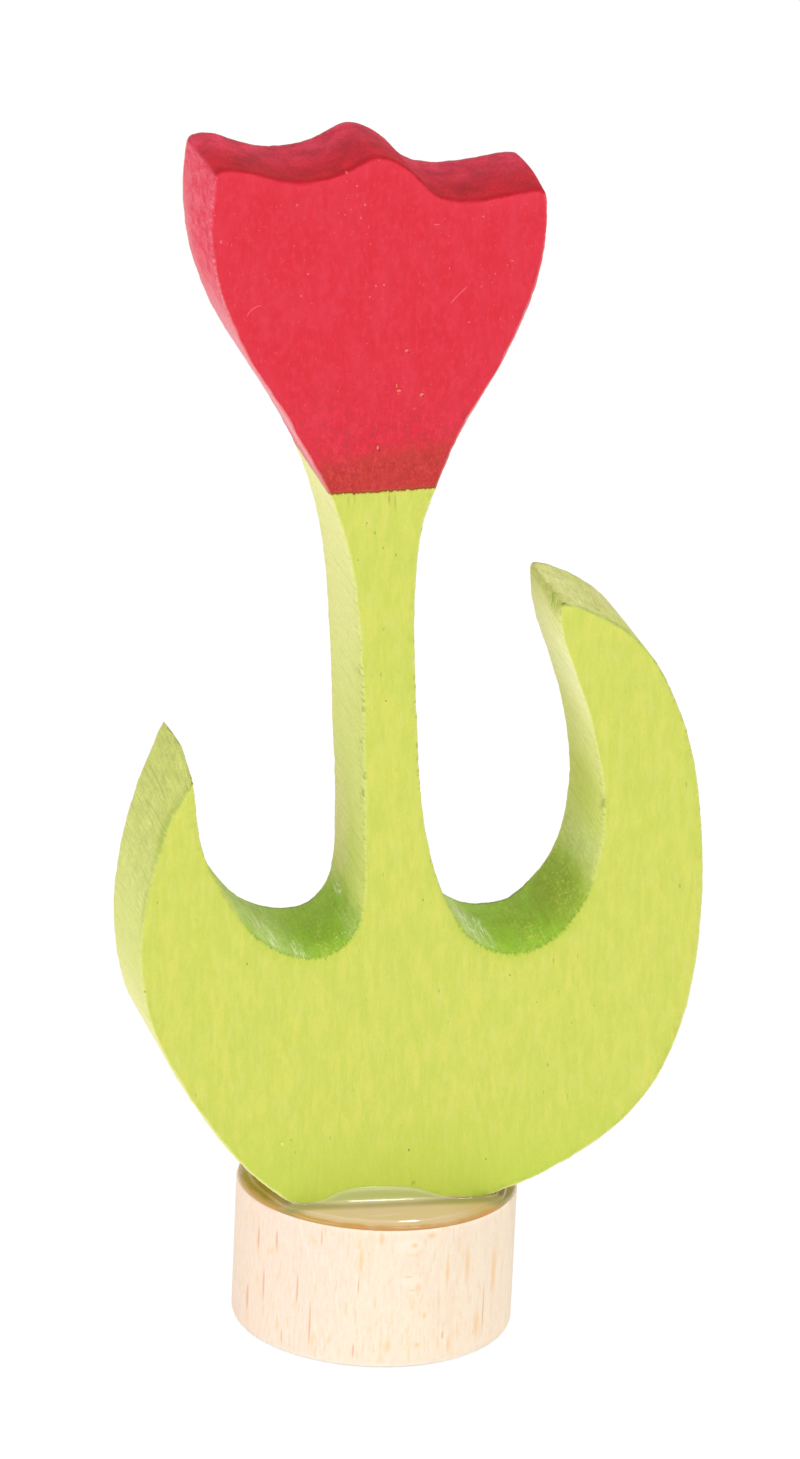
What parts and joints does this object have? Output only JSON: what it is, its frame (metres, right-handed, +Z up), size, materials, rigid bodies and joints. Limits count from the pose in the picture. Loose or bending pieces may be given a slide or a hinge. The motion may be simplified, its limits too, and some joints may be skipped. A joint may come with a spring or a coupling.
{
  "type": "wooden tulip",
  "caption": "Scroll-sawn wooden tulip with red blossom, green stem and two curved leaves, glued on a round plug that drops into a hole or stands on its own.",
  "frame": {"origin": "centre of the plug's underside, where the flower stands", "axes": "+Z up the plug's axis, +X across the flower to the viewer's right, the front faces -Y"},
  "size_m": [0.0391, 0.0194, 0.0844],
  "materials": {
    "stained_wood": "thin water stain, green below and red on the blossom, matt, grain upright and showing through",
    "beech": "bare turned beech, grain upright",
    "glue": "clear dried glue, glossy"
  },
  "bodies": {
    "root": {"tulip_board": "stained_wood", "base_peg": "beech", "dowel": "beech", "glue": "glue"}
  },
  "joints": []
}
